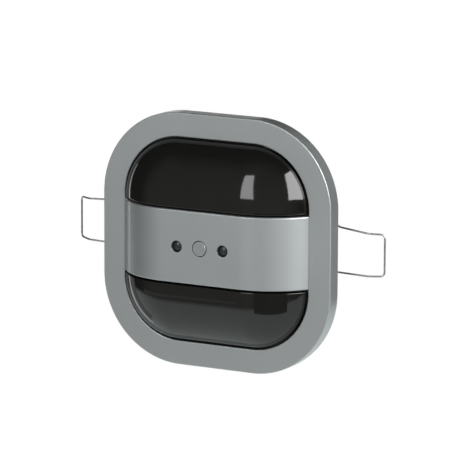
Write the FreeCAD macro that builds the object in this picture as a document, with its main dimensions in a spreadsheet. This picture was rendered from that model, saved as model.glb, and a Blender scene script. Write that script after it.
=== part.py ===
import FreeCAD, Part
import math
import os
import re
import Sketcher
from FreeCAD import Placement, Rotation, Vector

# Ceiling presence detector, in millimetres. The ceiling plane is y = 0, the cover looks along -Y,
# the round body goes into the ceiling along +Y, Z is up and X is to the right of the cover.
sizes = {
    "FrameSide": 110.0,  # side of the square cover frame
    "FrameCorner": 37.3,  # outer corner radius of the frame
    "RingWidth": 10.45,  # visible width of the frame's face
    "FrameDepth": 7.4,  # frame's face to the ceiling
    "FrontWall": 2.2,
    "RimWall": 2.4,
    "EdgeRound": 0.9,
    "BandWidth": 32.2,  # bowed band across the opening
    "BandRise": 14.4,  # band's flat top above the frame's face
    "BandWall": 2.2,
    "BandRound": 0.5,  # soft long edges of the band
    "PlateauHalf": 18.4,  # half the length of the band's flat top
    "CatchWidth": 14.2,  # each of the four catches inside the rim
    "LensGap": 0.7,  # shadow line round each window
    "LensDrop": 0.15,  # dome below the band's top
    "LensWall": 1.4,
    "LensLip": 2.2,  # flange of the dome behind the frame's face
    "LensLipThick": 1.2,
    "TroughRoom": 2.4,  # free height between the band and the dome's trough
    "ButtonRadius": 3.15,
    "ButtonGap": 0.35,
    "ButtonProud": 0.26,
    "ButtonTravel": 0.6,
    "StemRadius": 1.6,
    "CollarWidth": 1.05,  # button's collar behind the band
    "CollarThick": 1.1,
    "EyeSpacing": 22.1,  # between the two round recesses
    "EyeRadius": 2.55,
    "EyeDepth": 0.4,
    "EyeRound": 0.2,
    "EyeStem": 1.57,  # light pipe behind each recess
    "EyeFlange": 0.7,
    "CarrierThick": 1.5,
    "CarrierBar": 12.0,  # crossbar of the chassis
    "FlangeThick": 1.5,
    "FlangeGap": 0.4,  # flange to the frame's rim
    "SealWidth": 8.0,
    "BoardThick": 1.6,
    "SwitchHalf": 3.0,
    "SwitchTall": 3.5,
    "PlungerTall": 0.8,
    "LampRadius": 1.5,
    "LampTall": 4.6,
    "SensorInset": 17.1,  # infrared sensors, from the dome's edge
    "SensorSpread": 13.0,
    "CanRadius": 4.1,
    "CanTall": 4.2,
    "CanFoot": 0.4,
    "TroughRadius": 9.5,  # faceted lens trough over two sensors
    "TroughEnd": 18.1,  # each end of a trough, from the dome's edge
    "TroughWall": 0.6,
    "BarrelRadius": 34.0,
    "BarrelWall": 2.0,
    "BarrelDepth": 37.0,
    "BarrelChamfer": 0.8,
    "LidThick": 2.0,
    "LidPlay": 0.2,
    "BoardPlay": 2.0,  # power board to the barrel's wall
    "HingeOut": 28.5,  # spring pin, from the middle
    "HingeInset": 6.0,  # spring pin, in front of the barrel's end
    "PinRadius": 1.7,
    "PinPlay": 0.05,
    "WireRadius": 0.4,
    "CoilGap": 0.25,
    "CoilPitch": 1.0,
    "TailLength": 4.2,
    "PocketHalf": 12.2,
    "PocketWall": 1.6,
    "PocketFloor": 22.8,
    "PocketRoom": 6.6,  # pocket in front of the spring pin
    "KneeOut": 45.8,  # the loop's leg bends here, then at its elbow and its kink
    "KneeBack": 10.5,
    "KneeHalf": 10.74,
    "ElbowOut": 52.8,
    "ElbowBack": 6.15,
    "ElbowHalf": 9.78,
    "KinkOut": 68.2,
    "KinkBack": 1.9,
    "KinkHalf": 9.14,
    "TipOut": 74.8,
    "TipBack": 4.1,
    "TipHalf": 8.95,
    "RootRound": 14.4,
    "KneeRound": 10.8,
    "BendRound": 3.6,
    "LoopCorner": 1.8,
    "LeftFold": 14.4,  # the left loop rests this many degrees further back
    "ScrewRadius": 1.1,
    "ScrewHead": 2.0,
    "ScrewPlay": 0.35,
    "HeadTall": 1.4,
    "SlotWide": 0.5,
    "PostRadius": 3.6,
    "PostSink": 0.4,  # screw posts into the barrel's wall
    "TerminalPitch": 5.0,
    "TerminalHalf": 6.0,
    "TerminalTall": 14.4,
    "WireEntry": 1.5,
    "EntryDepth": 8.6,
    "RelayWide": 15.5,
    "RelayTall": 15.0,
    "RelayLong": 20.0,
    "RelayOut": 14.2,
    "CoreWide": 17.0,
    "CoreTall": 15.0,
    "CoreUp": 8.0,
    "CoilRadius": 9.0,
    "CoilTall": 9.0,
    "PartOut": 12.5,  # transformer and capacitor, from the middle
    "CapacitorRadius": 5.0,
    "CapacitorTall": 13.0,
    "CapacitorDown": 12.0,
    "LinkPitch": 1.27,
    "LinkPin": 0.6,
    "LinkWide": 5.0,
    "LinkTall": 9.0,
    "LinkDown": 22.0,
    "LinkOut": 4.1,
}

doc = FreeCAD.newDocument("PresenceDetector")
sheet = doc.addObject("Spreadsheet::Sheet", "Sizes")
for row, (alias, size) in enumerate(sizes.items(), 1):
    sheet.set(f"A{row}", alias)
    sheet.set(f"B{row}", str(size))
    sheet.setAlias(f"B{row}", alias)
doc.recompute()

# Sizes that follow from the sheet, as formulas
face = "(-FrameDepth)"
corner = "(FrameSide/2 - FrameCorner)"  # middle of every concentric corner, from the centre
openHalf = "(FrameSide/2 - RingWidth)"
lensHalf = f"({openHalf} - LensGap)"
bow = f"((({openHalf} - PlateauHalf)^2 + BandRise^2)/(2*BandRise))"  # radius of the band's end bows
bowBack = f"({face} - BandRise + {bow})"  # middle of the bows, on the Y scale
bandTop = f"({face} - BandRise)"
bandUnder = f"({bandTop} + BandWall)"
lipFront = f"({face} + LensLip)"
lipBack = f"({lipFront} + LensLipThick)"
troughDrop = "(BandWall + TroughRoom)"
troughTop = f"({bandTop} + {troughDrop})"
carrierBack = f"({lipBack} + CarrierThick)"
flangeBack = f"({carrierBack} + FlangeThick)"
boardFront = f"({lipBack} - BoardThick)"
boardHalf = f"({lensHalf} - LensWall - 2*(ScrewHead + ScrewPlay))"
sensorReach = f"({lensHalf} - SensorInset)"
troughLength = f"(2*({lensHalf} - TroughEnd))"
sealHalf = f"({openHalf} + RingWidth/2)"
screwAt = f"({corner} + ({boardHalf} - {corner} + ScrewHead + ScrewPlay)*sqrt(0.5))"
flangeHalf = "(FrameSide/2 - RimWall - FlangeGap)"
lidFront = "(BarrelDepth - LidThick)"
postAt = "(BarrelRadius - BarrelWall - PostRadius + PostSink)"
terminalEnd = "(BarrelDepth - FlangeGap)"
powerBack = f"({terminalEnd} - TerminalTall)"
powerFront = f"({powerBack} - BoardThick)"
hingeBack = "(BarrelDepth - HingeInset)"
plungerTop = f"({boardFront} - SwitchTall - PlungerTall)"


def formula(text):
    return re.sub(r"\b[A-Z][A-Za-z]+\b", r"Sizes.\g<0>", str(text))


def value(text):
    return float(sheet.evalExpression(str(text)))


def bind(thing, prop, text):
    thing.setExpression(prop, formula(text))


def body(label):
    made = doc.addObject("PartDesign::Body", label)
    made.Label = label
    return made


def sketch(owner, role, name, away="0", across="0", up="0"):
    plane = next(f for f in owner.Origin.OriginFeatures if f.Role == role)
    made = owner.newObject("Sketcher::SketchObject", name)
    made.AttachmentSupport = [(plane, "")]
    made.MapMode = "FlatFace"
    for axis, text in zip("xyz", (across, up, away)):
        bind(made, f"AttachmentOffset.Base.{axis}", text)
    return made


def fix(sk, kind, item, place, text, name):
    args = (-1, 1, item, place) if kind.startswith("Distance") else (item,)
    number = sk.addConstraint(Sketcher.Constraint(kind, *args, value(text)))
    sk.renameConstraint(number, name)
    bind(sk, f"Constraints.{name}", text)


def loop(sk, points, arcs=None):
    # A closed outline through formula points; arcs[i] is the middle and radius of the arc after point i.
    arcs = arcs or {}
    first = sk.GeometryCount
    spots = [Vector(value(x), value(y), 0) for x, y in points]
    ends = []
    for i, start in enumerate(spots):
        stop = spots[(i + 1) % len(spots)]
        if i in arcs:
            middle = Vector(value(arcs[i][0]), value(arcs[i][1]), 0)
            turn = (start - middle).cross(stop - middle).z
            low, high = (start, stop) if turn > 0 else (stop, start)
            angles = [math.atan2(p.y - middle.y, p.x - middle.x) for p in (low, high)]
            circle = Part.Circle(middle, Vector(0, 0, 1), value(arcs[i][2]))
            sk.addGeometry(Part.ArcOfCircle(circle, *angles), False)
            ends.append((1, 2) if turn > 0 else (2, 1))
        else:
            sk.addGeometry(Part.LineSegment(start, stop), False)
            ends.append((1, 2))
    for i, (x, y) in enumerate(points):
        following = (i + 1) % len(points)
        here, after = first + i, first + following
        sk.addConstraint(Sketcher.Constraint("Coincident", here, ends[i][1], after, ends[following][0]))
        fix(sk, "DistanceX", here, ends[i][0], x, f"across{here}")
        fix(sk, "DistanceY", here, ends[i][0], y, f"up{here}")
        if i in arcs:
            fix(sk, "Radius", here, 0, arcs[i][2], f"round{here}")


def roundedSquare(sk, half):
    # Every rounded square shares its corner middles with the frame.
    h, c, r = half, corner, f"({half} - {corner})"
    points = [
        (f"-{c}", f"-{h}"), (c, f"-{h}"), (h, f"-{c}"), (h, c),
        (c, h), (f"-{c}", h), (f"-{h}", c), (f"-{h}", f"-{c}"),
    ]
    arcs = {1: (c, f"-{c}", r), 3: (c, c, r), 5: (f"-{c}", c, r), 7: (f"-{c}", f"-{c}", r)}
    loop(sk, points, arcs)


def rectangle(sk, x0, y0, x1, y1):
    loop(sk, [(x0, y0), (x1, y0), (x1, y1), (x0, y1)])


def circle(sk, x, y, radius):
    item = sk.addGeometry(Part.Circle(Vector(value(x), value(y), 0), Vector(0, 0, 1), value(radius)), False)
    fix(sk, "DistanceX", item, 3, x, f"across{item}")
    fix(sk, "DistanceY", item, 3, y, f"up{item}")
    fix(sk, "Radius", item, 0, radius, f"round{item}")


def feature(owner, kind, name, sk, length, backwards=False, both=False):
    # On the XZ plane a pad grows towards the front, -Y, and a pocket cuts towards the ceiling, +Y.
    made = owner.newObject(f"PartDesign::{kind}", name)
    made.Profile = sk
    bind(made, "Length", length)
    made.Reversed = backwards
    if both:
        made.SideType = "Symmetric"
    owner.Tip = made
    doc.recompute()
    return made


def plate(owner, name, draw, front, thick, kind="Pad"):
    # A pad or pocket between two depths: front is its face nearest to the room.
    back = f"({front} + {thick})"
    sk = sketch(owner, "XZ_Plane", f"{name}Sketch", f"-({back if kind == 'Pad' else front})")
    draw(sk)
    return feature(owner, kind, name, sk, thick)


def squarePlate(owner, name, half, front, thick, kind="Pad"):
    return plate(owner, name, lambda sk: roundedSquare(sk, half), front, thick, kind)


def roundPlate(owner, name, radius, front, thick, kind="Pad", x="0", z="0"):
    return plate(owner, name, lambda sk: circle(sk, x, z, radius), front, thick, kind)


def edgesWhere(shape, test):
    return [f"Edge{i}" for i, edge in enumerate(shape.Edges, 1) if test(edge)]


def isRound(edge):
    return edge.Curve.TypeId == "Part::GeomCircle"


def onOutline(edge, half):
    # True for the edges of the rounded square of this half side.
    spot = edge.valueAt((edge.FirstParameter + edge.LastParameter) / 2)
    middle = value(corner)
    x, z = max(abs(spot.x) - middle, 0), max(abs(spot.z) - middle, 0)
    return abs(math.hypot(x, z) - (half - middle)) < 1e-4


def dressEdges(owner, kind, name, base, edges, size):
    made = owner.newObject(f"PartDesign::{kind}", name)
    made.Base = (base, edges)
    bind(made, "Radius" if kind == "Fillet" else "Size", size)
    owner.Tip = made
    doc.recompute()
    return made


def repeatRound(owner, name, features, count):
    axis = next(f for f in owner.Origin.OriginFeatures if f.Role == "Y_Axis")
    made = owner.newObject("PartDesign::PolarPattern", name)
    made.Originals = features
    made.Axis = (axis, [""])
    made.Angle = 360
    made.Occurrences = count
    owner.Tip = made
    doc.recompute()
    return made


def mirrorLeft(owner, name, features):
    plane = next(f for f in owner.Origin.OriginFeatures if f.Role == "YZ_Plane")
    made = owner.newObject("PartDesign::Mirrored", name)
    made.Originals = features
    made.MirrorPlane = (plane, [""])
    owner.Tip = made
    doc.recompute()
    return made


def pillow(name, sink, half, back):
    # The dome's form: a flat top, bowed sides and bowed corners, with its skin sunk by the given depth.
    made = body(name)
    top = f"({bandTop} + {sink})"
    radius = f"({bow} - {sink})"
    edge = f"({bowBack} - sqrt({radius}^2 - ({half} - PlateauHalf)^2))"
    sk = sketch(made, "XZ_Plane", f"{name}Core", f"-({back})")
    rectangle(sk, f"-{corner}", f"-{corner}", corner, corner)
    feature(made, "Pad", f"{name}Middle", sk, f"{back} - {top}")
    side = sketch(made, "XY_Plane", f"{name}Side", corner, corner)
    flat = f"(PlateauHalf - {corner})"
    out = f"({half} - {corner})"
    points = [("0", back), (out, back), (out, edge), (flat, top), ("0", top)]
    loop(side, points, {2: (flat, bowBack, radius)})
    run = feature(made, "Pad", f"{name}Run", side, f"2*{corner}", backwards=True)
    turn = made.newObject("PartDesign::Revolution", f"{name}Turn")
    turn.Profile = side
    turn.ReferenceAxis = (side, ["V_Axis"])
    turn.Angle = 90
    made.Tip = turn
    doc.recompute()
    if turn.Shape.BoundBox.ZMax < value(half) - 0.01:
        turn.Reversed = True
        doc.recompute()
    repeatRound(made, f"{name}Round", [run, turn], 4)
    return made


def block(name, low, high):
    # A box between its lowest and its highest corner.
    made = doc.addObject("Part::Box", name)
    for prop, axis, start, end in zip(("Length", "Width", "Height"), "xyz", low, high):
        bind(made, prop, f"({end}) - ({start})")
        bind(made, f"Placement.Base.{axis}", start)
    return made


def rod(name, x, y, z, radius, length):
    # A round bar along +Y from the given point.
    made = doc.addObject("Part::Cylinder", name)
    made.Placement = Placement(Vector(), Rotation(Vector(1, 0, 0), -90))
    bind(made, "Radius", radius)
    bind(made, "Height", length)
    for axis, low in zip("xyz", (x, y, z)):
        bind(made, f"Placement.Base.{axis}", low)
    return made


def joined(label, kind, parts):
    made = doc.addObject(kind, label)
    if kind == "Part::Cut":
        made.Base, made.Tool = parts
    else:
        made.Shapes = parts
        made.Refine = True
    made.Label = label
    return made


def coverFrame():
    frame = body("cover_frame")
    half = "(FrameSide/2)"
    rimHalf = f"({half} - RimWall)"
    behind = f"({face} + FrontWall)"
    under = f"({bow} - BandWall)"
    outerEnd = f"(PlateauHalf + sqrt({bow}^2 - ({bowBack} - ({behind}))^2))"
    innerEnd = f"(PlateauHalf + sqrt({under}^2 - ({bowBack} - ({behind}))^2))"
    bowed = sketch(frame, "XY_Plane", "BandSketch")
    points = [
        (outerEnd, behind), ("PlateauHalf", bandTop), ("-PlateauHalf", bandTop), (f"-{outerEnd}", behind),
        (f"-{innerEnd}", behind), ("-PlateauHalf", bandUnder), ("PlateauHalf", bandUnder), (innerEnd, behind),
    ]
    arcs = {
        0: ("PlateauHalf", bowBack, bow), 2: ("-PlateauHalf", bowBack, bow),
        4: ("-PlateauHalf", bowBack, under), 6: ("PlateauHalf", bowBack, under),
    }
    loop(bowed, points, arcs)
    band = feature(frame, "Pad", "Band", bowed, "BandWidth", both=True)
    top, side, middle = value(bandTop), value("BandWidth/2"), value(bowBack)

    def onBand(edge):
        low, high = edge.firstVertex().Point, edge.lastVertex().Point
        onSide = all(abs(abs(p.z) - side) < 1e-6 for p in (low, high, edge.CenterOfMass))
        reach = math.hypot(abs(low.x) - value("PlateauHalf"), low.y - middle)
        return onSide and abs(reach - value(bow)) < 1e-6 and min(low.y, high.y) < top + 1e-6

    dressEdges(frame, "Fillet", "BandEdges", band, edgesWhere(band.Shape, onBand), "BandRound")

    def annulus(sk):
        roundedSquare(sk, half)
        roundedSquare(sk, openHalf)

    ring = plate(frame, "Ring", annulus, face, "FrameDepth")
    reach = value(half)
    front = value(face)
    outer = edgesWhere(ring.Shape, lambda e: abs(e.CenterOfMass.y - front) < 1e-6 and onOutline(e, reach))
    dressEdges(frame, "Fillet", "FrontEdge", ring, outer, "EdgeRound")
    squarePlate(frame, "Hollow", rimHalf, behind, "FrameDepth - FrontWall", "Pocket")

    def holes(sk):
        circle(sk, "0", "0", "ButtonRadius + ButtonGap")
        for sign in ("", "-"):
            circle(sk, f"{sign}EyeSpacing/2", "0", "EyeRadius")

    cut = plate(frame, "BandHoles", holes, bandTop, "2*BandWall", "Pocket")
    rims = edgesWhere(cut.Shape, lambda e: abs(e.CenterOfMass.y - top) < 1e-6 and isRound(e))
    dressEdges(frame, "Fillet", "HoleEdges", cut, rims, "EyeRound")
    hook = sketch(frame, "XY_Plane", "CatchSketch")
    nose = f"({flangeHalf} - FlangeGap)"
    wedge = [(rimHalf, "-FlangeThick/3"), (nose, "-FlangeThick/4"), (nose, "-FlangeThick/6"), (rimHalf, "0")]
    loop(hook, wedge)
    catch = feature(frame, "Pad", "Catch", hook, "CatchWidth", both=True)
    repeatRound(frame, "Catches", [catch], 4)
    return frame


def lensDome():
    skin = "LensDrop"
    inHalf = f"({lensHalf} - LensWall)"
    bottom = f"({bowBack} - {lipFront})"
    troughHalf = f"(PlateauHalf + sqrt(({bow} - {troughDrop})^2 - {bottom}^2))"
    window = pillow("WindowSkin", skin, lensHalf, lipBack)
    windowIn = pillow("WindowHollow", f"({skin} + LensWall)", inHalf, lipBack)
    trough = pillow("TroughSkin", troughDrop, troughHalf, lipBack)
    troughIn = pillow("TroughHollow", f"({troughDrop} + LensWall)", f"({troughHalf} - LensWall)", lipBack)
    edge = "(BandWidth/2 + LensGap)"
    wide = "FrameSide/2"
    slabs, slabsIn = [], []
    for sign, side in ((1, "Upper"), (-1, "Lower")):
        for group, near in ((slabs, edge), (slabsIn, f"({edge} + LensWall)")):
            low, high = (near, wide) if sign > 0 else (f"-{wide}", f"-{near}")
            name = f"{side}Window{'Hollow' if group is slabsIn else 'Skin'}"
            cutter = block(f"{name}Slab", (f"-{wide}", f"2*{bandTop}", low), (wide, "0", high))
            source = windowIn if group is slabsIn else window
            group.append(joined(f"{name}Part", "Part::MultiCommon", [source, cutter]))
    lip = body("LensLipPlate")
    squarePlate(lip, "Lip", f"({openHalf} + LensLip)", lipFront, "LensLipThick")
    outside = joined("LensOutside", "Part::MultiFuse", [lip, trough] + slabs)
    inside = joined("LensInside", "Part::MultiFuse", [troughIn] + slabsIn)
    shell = joined("LensShell", "Part::Cut", [outside, inside])
    length = "4*TroughRoom"
    holes = [rod("ButtonPassage", "0", f"{troughTop} - TroughRoom/2", "0", "StemRadius + ButtonGap", length)]
    for side, sign in (("Left", "-"), ("Right", "")):
        out = f"{sign}EyeSpacing/2"
        holes.append(rod(f"EyePassage{side}", out, f"{troughTop} - TroughRoom/2", "0", "EyeStem", length))
    return joined("lens_dome", "Part::Cut", [shell, joined("LensPassages", "Part::MultiFuse", holes)])


def turned(label, points, arcs=None, x="0"):
    # A round piece on an axis along Y, from its half outline.
    made = body(label)
    sk = sketch(made, "XY_Plane", f"{label}Outline", across=x)
    loop(sk, points, arcs)
    spin = made.newObject("PartDesign::Revolution", f"{label}Spin")
    spin.Profile = sk
    spin.ReferenceAxis = (sk, ["V_Axis"])
    spin.Angle = 360
    made.Tip = spin
    doc.recompute()
    return made


def pushButton():
    crown = f"({bandTop} - ButtonProud)"
    collar = f"({bandUnder} + ButtonGap)"
    collarBack = f"({collar} + CollarThick)"
    stem = f"({plungerTop} - ButtonTravel - ButtonGap/4)"
    wide = "(ButtonRadius + CollarWidth)"
    shoulder = "(ButtonRadius - ButtonProud)"
    points = [
        ("0", crown), (shoulder, crown), ("ButtonRadius", f"{crown} + ButtonProud"), ("ButtonRadius", collar),
        (wide, collar), (wide, collarBack), ("StemRadius", collarBack), ("StemRadius", stem), ("0", stem),
    ]
    return turned("push_button", points, {1: (shoulder, f"{crown} + ButtonProud", "ButtonProud")})


def lightWindow(side, x):
    front = f"({bandTop} + EyeDepth)"
    wide = "(EyeRadius - ButtonGap)"
    shoulder = f"({front} + {wide}/3)"
    dome = f"({wide}*5/3)"  # a cap a third as high as it is wide
    flange = "(EyeRadius + EyeFlange)"
    back = f"({bandUnder} + CollarThick)"
    end = f"({boardFront} - LampTall - ButtonGap)"
    stem = "(EyeStem - ButtonGap/2)"
    points = [
        ("0", front), (wide, shoulder), (wide, bandUnder), (flange, bandUnder), (flange, back), (stem, back),
        (stem, end), ("0", end),
    ]
    return turned(f"light_window_{side}", points, {0: ("0", f"{front} + {dome}", dome)}, x)


def lensTrough(side, sign):
    # Six flat facets on each face, a lens to each.
    made = body(f"fresnel_lens_{side}")
    sk = sketch(made, "YZ_Plane", f"{side}Facets")
    points = []
    inner = "(TroughRadius - TroughWall)"
    for radius, turns in (("TroughRadius", range(0, 181, 30)), (inner, range(180, -1, -30))):
        for turn in turns:
            back, up = round(math.sin(math.radians(turn)), 6), round(math.cos(math.radians(turn)), 6)
            points.append((f"{boardFront} - {radius}*{back}", f"{sign}{sensorReach} + {radius}*{up}"))
    loop(sk, points)
    feature(made, "Pad", f"{side}Trough", sk, troughLength, both=True)
    return made


def sensorCan(name, x, z):
    made = body(name)
    top = f"({boardFront} - CanTall)"
    roundPlate(made, f"{name}Foot", "CanRadius + CanFoot", f"{boardFront} - CanFoot", "CanFoot", x=x, z=z)
    roundPlate(made, f"{name}Can", "CanRadius", top, "CanTall", x=x, z=z)
    half, low = "(CanRadius/2)", "(CanRadius*0.4)"
    plate(
        made, f"{name}Eye",
        lambda sk: rectangle(sk, f"{x} - {half}", f"{z} - {low}", f"{x} + {half}", f"{z} + {low}"),
        top, "CanFoot", "Pocket",
    )
    return made


def sensorBoard():
    made = body("sensor_board")
    squarePlate(made, "SensorBoardPlate", boardHalf, boardFront, "BoardThick")
    return made


def tactSwitch():
    low = ("-SwitchHalf", f"{boardFront} - SwitchTall", "-SwitchHalf")
    case = block("SwitchCase", low, ("SwitchHalf", boardFront, "SwitchHalf"))
    plunger = rod("SwitchPlunger", "0", plungerTop, "0", "StemRadius", "2*PlungerTall")
    return joined("tact_switch", "Part::MultiFuse", [case, plunger])


def indicator(label, x):
    tip = f"({boardFront} - LampTall)"
    shoulder, foot = f"({tip} + LampRadius)", f"({boardFront} - CanFoot)"
    wide = "(LampRadius + CanFoot)"
    points = [
        ("0", tip), ("LampRadius", shoulder), ("LampRadius", foot), (wide, foot), (wide, boardFront),
        ("0", boardFront),
    ]
    return turned(label, points, {0: ("0", shoulder, "LampRadius")}, x)


def screwHoles(sk):
    for x in ("", "-"):
        for z in ("", "-"):
            circle(sk, f"{x}{screwAt}", f"{z}{screwAt}", "ScrewRadius")


def sensorCarrier():
    made = body("sensor_carrier")
    well = "(BarrelRadius - BarrelWall - PocketWall)"
    squarePlate(made, "CarrierPlate", f"({openHalf} + LensLip)", lipBack, "CarrierThick")
    roundPlate(made, "CarrierWell", well, lipBack, "CarrierThick", "Pocket")
    ends = ("-BarrelRadius", "-CarrierBar/2", "BarrelRadius", "CarrierBar/2")
    plate(made, "CarrierCross", lambda sk: rectangle(sk, *ends), lipBack, "CarrierThick")
    plate(made, "CarrierHoles", screwHoles, lipBack, "CarrierThick", "Pocket")
    return made


def roundScrew(name, x, z, seat, length, towards=1):
    # towards is 1 for a screw driven from the room and -1 for one driven from behind.
    headFront = f"({seat} - HeadTall)" if towards > 0 else seat
    shankFront = seat if towards > 0 else f"({seat} - ({length}))"
    slotFront = f"({seat} - 2*HeadTall)" if towards > 0 else f"({seat} + HeadTall/2)"
    slotBack = f"({seat} - HeadTall/2)" if towards > 0 else f"({seat} + 2*HeadTall)"
    head = rod(f"{name}Head", x, headFront, z, "ScrewHead", "HeadTall")
    shank = rod(f"{name}Shank", x, shankFront, z, "ScrewRadius", length)
    low = (f"{x} - 2*ScrewHead", slotFront, f"{z} - SlotWide/2")
    slot = block(f"{name}Slot", low, (f"{x} + 2*ScrewHead", slotBack, f"{z} + SlotWide/2"))
    return joined(name, "Part::Cut", [joined(f"{name}Body", "Part::MultiFuse", [head, shank]), slot])


def gathered(label, parts):
    made = doc.addObject("Part::Compound", label)
    made.Links = parts
    made.Label = label
    return made


def carrierScrews():
    screws = []
    for i, (x, z) in enumerate(((1, 1), (-1, 1), (-1, -1), (1, -1)), 1):
        places = (f"{x}*{screwAt}", f"{z}*{screwAt}")
        screws.append(roundScrew(f"CarrierScrew{i}", *places, lipBack, "CarrierThick + FlangeThick*0.9"))
    return gathered("carrier_screws", screws)


def baseHousing():
    made = body("base_housing")
    depth = f"BarrelDepth - {carrierBack}"
    squarePlate(made, "Flange", flangeHalf, carrierBack, "FlangeThick")
    roundPlate(made, "Barrel", "BarrelRadius", carrierBack, depth)
    roundPlate(made, "Bore", "BarrelRadius - BarrelWall", carrierBack, depth, "Pocket")
    posts = sketch(made, "XZ_Plane", "PostSketch", f"-{lidFront}")
    for sign in ("", "-"):
        circle(posts, "0", f"{sign}{postAt}", "PostRadius")
    feature(made, "Pad", "Posts", posts, f"{lidFront} - {powerBack}")
    wide = "(PocketHalf + PocketWall)"
    front = f"({hingeBack} - PocketRoom)"
    chord = f"sqrt(BarrelRadius^2 - {wide}^2)"
    low = "(PocketFloor - PocketWall)"
    wall = sketch(made, "XZ_Plane", "PocketWallSketch", "-BarrelDepth")
    corners = [(low, f"-{wide}"), (chord, f"-{wide}"), (chord, wide), (low, wide)]
    loop(wall, corners, {1: ("0", "0", "BarrelRadius")})
    walls = feature(made, "Pad", "PocketWalls", wall, f"BarrelDepth - ({front} - PocketWall)")
    ear = sketch(made, "XY_Plane", "EarSketch")
    circle(ear, "HingeOut", hingeBack, "PinRadius + PocketWall")
    ears = feature(made, "Pad", "Ears", ear, f"2*{wide} + PocketWall", both=True)
    gap = sketch(made, "XZ_Plane", "PocketSketch", f"-{front}")
    rectangle(gap, "PocketFloor", "-PocketHalf", "2*BarrelRadius", "PocketHalf")
    pocket = feature(made, "Pocket", "SpringPocket", gap, f"2*(BarrelDepth - {front})")
    bore = sketch(made, "XY_Plane", "PinHoleSketch")
    circle(bore, "HingeOut", hingeBack, "PinRadius + PinPlay")
    holes = feature(made, "Pocket", "PinHoles", bore, "BarrelRadius", both=True)
    mirrorLeft(made, "LeftPocket", [walls, ears, pocket, holes])
    plate(made, "FlangeHoles", screwHoles, carrierBack, "FlangeThick", "Pocket")
    lidHoles = sketch(made, "XZ_Plane", "PostHoleSketch", f"-{lidFront}")
    for sign in ("", "-"):
        circle(lidHoles, "0", f"{sign}{postAt}", "ScrewRadius")
    drilled = feature(made, "Pocket", "PostHoles", lidHoles, "4*ScrewHead", backwards=True)
    end, radius = value("BarrelDepth"), value("BarrelRadius")

    def barrelEnd(edge):
        spots = [edge.valueAt(t) for t in (edge.FirstParameter, edge.LastParameter)]
        onRim = all(abs(math.hypot(p.x, p.z) - radius) < 1e-4 and abs(p.y - end) < 1e-4 for p in spots)
        return onRim and isRound(edge) and abs(edge.Curve.Radius - radius) < 1e-4

    dressEdges(made, "Chamfer", "BarrelEnd", drilled, edgesWhere(drilled.Shape, barrelEnd), "BarrelChamfer")
    return made


def foamSeal():
    made = body("foam_seal")
    thick = f"-{flangeBack}"
    squarePlate(made, "SealPlate", sealHalf, flangeBack, thick)
    squarePlate(made, "SealHole", f"({sealHalf} - SealWidth)", flangeBack, thick, "Pocket")
    return made


def rearCover():
    made = body("rear_cover")
    roundPlate(made, "Lid", "BarrelRadius - BarrelWall - LidPlay", lidFront, "LidThick")

    def cuts(sk):
        side = "(PocketFloor - PocketWall - LidPlay)"
        wide = "(PocketHalf + 1.5*PocketWall + LidPlay)"
        long, tall = "(2*TerminalPitch + LidPlay)", "(TerminalHalf + LidPlay)"
        rectangle(sk, side, f"-{wide}", "BarrelRadius", wide)
        rectangle(sk, "-BarrelRadius", f"-{wide}", f"-{side}", wide)
        rectangle(sk, f"-{long}", f"-{tall}", long, tall)
        for sign in ("", "-"):
            circle(sk, "0", f"{sign}{postAt}", "ScrewRadius + LidPlay/2")

    plate(made, "LidCuts", cuts, lidFront, "LidThick", "Pocket")
    return made


def coverScrews():
    screws, length = [], "LidThick + 3*ScrewHead"
    for i, sign in enumerate(("", "-"), 1):
        screws.append(roundScrew(f"CoverScrew{i}", "0", f"{sign}{postAt}", "BarrelDepth", length, -1))
    return gathered("cover_screws", screws)


def powerBoard():
    made = body("power_board")
    roundPlate(made, "PowerBoardPlate", "BarrelRadius - BarrelWall - BoardPlay", powerFront, "BoardThick")
    return made


def relay():
    low = ("-(RelayOut + RelayWide/2)", f"{powerFront} - RelayTall", "-RelayLong*0.4")
    return block("relay", low, ("RelayWide/2 - RelayOut", powerFront, "RelayLong*0.6"))


def transformer():
    low = ("PartOut - CoreWide/2", f"{powerFront} - CoreTall", "CoreUp - CoreTall/2")
    core = block("TransformerCore", low, ("PartOut + CoreWide/2", powerFront, "CoreUp + CoreTall/2"))
    front = f"{powerFront} - (CoreTall + CoilTall)/2"
    coil = rod("TransformerCoil", "PartOut", front, "CoreUp", "CoilRadius", "CoilTall")
    return joined("transformer", "Part::MultiFuse", [core, coil])


def capacitor():
    front = f"{powerFront} - CapacitorTall"
    made = rod("filter_capacitor", "PartOut", front, "-CapacitorDown", "CapacitorRadius", "CapacitorTall")
    made.Label = "filter_capacitor"
    return made


def boardLink():
    half = "(2.5*LinkPitch)"
    socket = f"({powerFront} - LinkTall)"
    low = (f"-LinkOut - {half}", socket, "-LinkDown - LinkWide/2")
    parts = [block("LinkSocket", low, (f"{half} - LinkOut", powerFront, "LinkWide/2 - LinkDown"))]
    for i in range(5):
        x = f"(-LinkOut + LinkPitch*({i} - 2))"
        low = (f"{x} - LinkPin/2", lipBack, "-LinkDown - LinkPin/2")
        high = (f"{x} + LinkPin/2", f"{socket} + LinkPin", "LinkPin/2 - LinkDown")
        parts.append(block(f"LinkPin{i}", low, high))
    return joined("board_link", "Part::MultiFuse", parts)


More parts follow.
